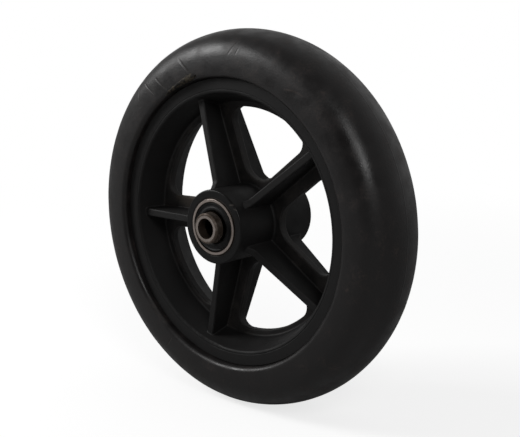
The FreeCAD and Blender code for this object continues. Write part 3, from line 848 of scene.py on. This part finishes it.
def make_world():
    """Even soft light, dim behind the camera, and plain white where the camera sees it."""
    world = bpy.data.worlds.new("studio")
    world.use_nodes = True
    tree = world.node_tree
    tree.nodes.clear()
    rays = add(tree, "ShaderNodeLightPath").outputs
    aim = add(tree, "ShaderNodeTexCoord").outputs["Generated"]
    # The room on the camera's side is dim, and the white backdrop stands behind the wheel.
    facing = add(tree, "ShaderNodeVectorMath", {0: aim, 1: DIM_SIDE},
                 operation="DOT_PRODUCT").outputs["Value"]
    mirrored = maths(tree, "ADD", rays["Is Glossy Ray"], rays["Is Transmission Ray"], clamp=True)
    backdrop = ramp(tree, facing, -0.75, -0.25, MIRRORED_SHARE, 0.0)
    seen = maths(tree, "MAXIMUM", rays["Is Camera Ray"], product(tree, mirrored, backdrop))
    strength = ramp(tree, facing, -0.1, 0.8, BRIGHT_LIGHT, DIM_LIGHT)
    soft, white = (
        add(tree, "ShaderNodeBackground", {"Color": (1.0, 1.0, 1.0, 1.0), "Strength": light}).outputs[0]
        for light in (strength, 1.0))
    mixed = add(tree, "ShaderNodeMixShader", {0: seen, 1: soft, 2: white})
    add(tree, "ShaderNodeOutputWorld", {"Surface": mixed.outputs[0]})
    bpy.context.scene.world = world


def make_lamp(name, place, size, power):
    """Square soft lamp that looks at the wheel."""
    light = bpy.data.lights.new(name, "AREA")
    light.size = size
    light.energy = power
    lamp = placed(name, light)
    lamp.location = place
    lamp.rotation_euler = (-Vector(place)).to_track_quat("-Z", "Y").to_euler()


def make_camera(settings):
    """Camera that stands where the photograph was taken from."""
    turn, rise = settings.azimuth, settings.elevation
    back = Vector((math.sin(turn) * math.cos(rise), -math.cos(turn) * math.cos(rise), math.sin(rise)))
    right = Vector((math.cos(turn), math.sin(turn), 0.0))
    up = back.cross(right)
    data = bpy.data.cameras.new("camera")
    data.lens = settings.lens
    data.sensor_width = SENSOR_WIDTH
    data.clip_start = 0.01
    camera = placed("camera", data)
    camera.matrix_world = Matrix.Translation(
        back * settings.distance + right * settings.aside[0] + up * settings.aside[1]
    ) @ Matrix((right, up, back)).transposed().to_4x4()
    bpy.context.scene.camera = camera


# Operators, one for each group of pieces and one for the stage

class WHEEL_OT_build_tyre(bpy.types.Operator):
    """Builds the worn solid tyre"""
    bl_idname = "wheel.build_tyre"
    bl_label = "Tyre"

    def execute(self, context):
        settings = context.scene.wheel_tyre
        made = turned("tyre_worn", tyre_outline(settings), settings.steps_around,
                      cast_polyurethane(settings), settings.unevenness, TYRE_LUMPS)
        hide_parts("tyre")
        tear = tear_piece(settings, torn_polyurethane(settings))
        for piece in (made, tear):
            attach(piece, "wheel")
        return {"FINISHED"}


class WHEEL_OT_finish_rim(bpy.types.Operator):
    """Gives the moulded rim its finish"""
    bl_idname = "wheel.finish_rim"
    bl_label = "Rim"

    def execute(self, context):
        coat("rim", moulded_nylon(context.scene.wheel_rim))
        return {"FINISHED"}


class WHEEL_OT_build_bearings(bpy.types.Operator):
    """Builds the seals and finishes races, balls, cages and the tube between the bearings"""
    bl_idname = "wheel.build_bearings"
    bl_label = "Bearings"

    def execute(self, context):
        settings = context.scene.wheel_bearings
        steel = ground_steel(settings)
        rubber = seal_rubber(settings)
        cage = moulded_cage()
        grease = old_grease(settings)
        for end, side in ENDS.items():
            coat(f"outer_race_{end}", steel)
            coat(f"inner_race_{end}", steel)
            coat(f"cage_{end}", cage)
            coat(f"seal_{end}_inner", rubber)
            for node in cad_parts:
                if node.startswith(f"ball_{end}_"):
                    coat(node, steel)
            low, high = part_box(f"seal_{end}_outer")
            face = low.y if side < 0 else high.y
            seal = turned(f"seal_{end}_lipped", seal_outline(face, side), settings.steps_around, rubber)
            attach(seal, "wheel")
            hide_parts(f"seal_{end}_outer")
            grime = turned(f"grime_{end}", grime_outline(RIM_HIGH.y * side, side), settings.steps_around,
                           grease, GRIME_UNEVENNESS, GRIME_LUMPS)
            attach(grime, "wheel")
        coat("spacer_tube", drawn_tube())
        return {"FINISHED"}


class WHEEL_OT_finish_bushes(bpy.types.Operator):
    """Gives the end bushes their tarnished finish"""
    bl_idname = "wheel.finish_bushes"
    bl_label = "Bushes"

    def execute(self, context):
        metal = tarnished_steel(context.scene.wheel_bushes)
        for end in ENDS:
            coat(f"end_bush_{end}", metal)
        return {"FINISHED"}


class WHEEL_OT_set_stage(bpy.types.Operator):
    """Sets up the floor, the lamps and the camera"""
    bl_idname = "wheel.set_stage"
    bl_label = "Stage"

    def execute(self, context):
        settings = context.scene.wheel_stage
        make_floor(settings)
        make_world()
        for name, place, size, power in LAMPS:
            make_lamp(name, place, size, power)
        make_camera(settings)
        context.scene.view_settings.view_transform = "Standard"
        return {"FINISHED"}


class WHEEL_PT_panel(bpy.types.Panel):
    """Lists the steps that dress the wheel"""
    bl_idname = "WHEEL_PT_panel"
    bl_label = "Wheelchair wheel"
    bl_space_type = "VIEW_3D"
    bl_region_type = "UI"
    bl_category = "Wheel"

    def draw(self, context):
        for settings, operator in STEPS:
            box = self.layout.box()
            group = getattr(context.scene, settings)
            for name in group.__annotations__:
                box.prop(group, name)
            box.operator(operator)


# Each step: the settings it reads and the operator that carries it out.
STEPS = [
    ("wheel_tyre", "wheel.build_tyre"),
    ("wheel_rim", "wheel.finish_rim"),
    ("wheel_bearings", "wheel.build_bearings"),
    ("wheel_bushes", "wheel.finish_bushes"),
    ("wheel_stage", "wheel.set_stage"),
]
GROUPS = {
    "wheel_tyre": TyreSettings,
    "wheel_rim": RimSettings,
    "wheel_bearings": BearingSettings,
    "wheel_bushes": BushSettings,
    "wheel_stage": StageSettings,
}
CLASSES = [*GROUPS.values(), WHEEL_OT_build_tyre, WHEEL_OT_finish_rim, WHEEL_OT_build_bearings,
           WHEEL_OT_finish_bushes, WHEEL_OT_set_stage, WHEEL_PT_panel]


def register():
    for kind in CLASSES:
        bpy.utils.register_class(kind)
    for name, group in GROUPS.items():
        setattr(bpy.types.Scene, name, PointerProperty(type=group))


def unregister():
    for name in GROUPS:
        delattr(bpy.types.Scene, name)
    for kind in reversed(CLASSES):
        bpy.utils.unregister_class(kind)


def main():
    register()
    for _, operator in STEPS:
        group, name = operator.split(".")
        getattr(getattr(bpy.ops, group), name)()


if __name__ == "__main__":
    main()
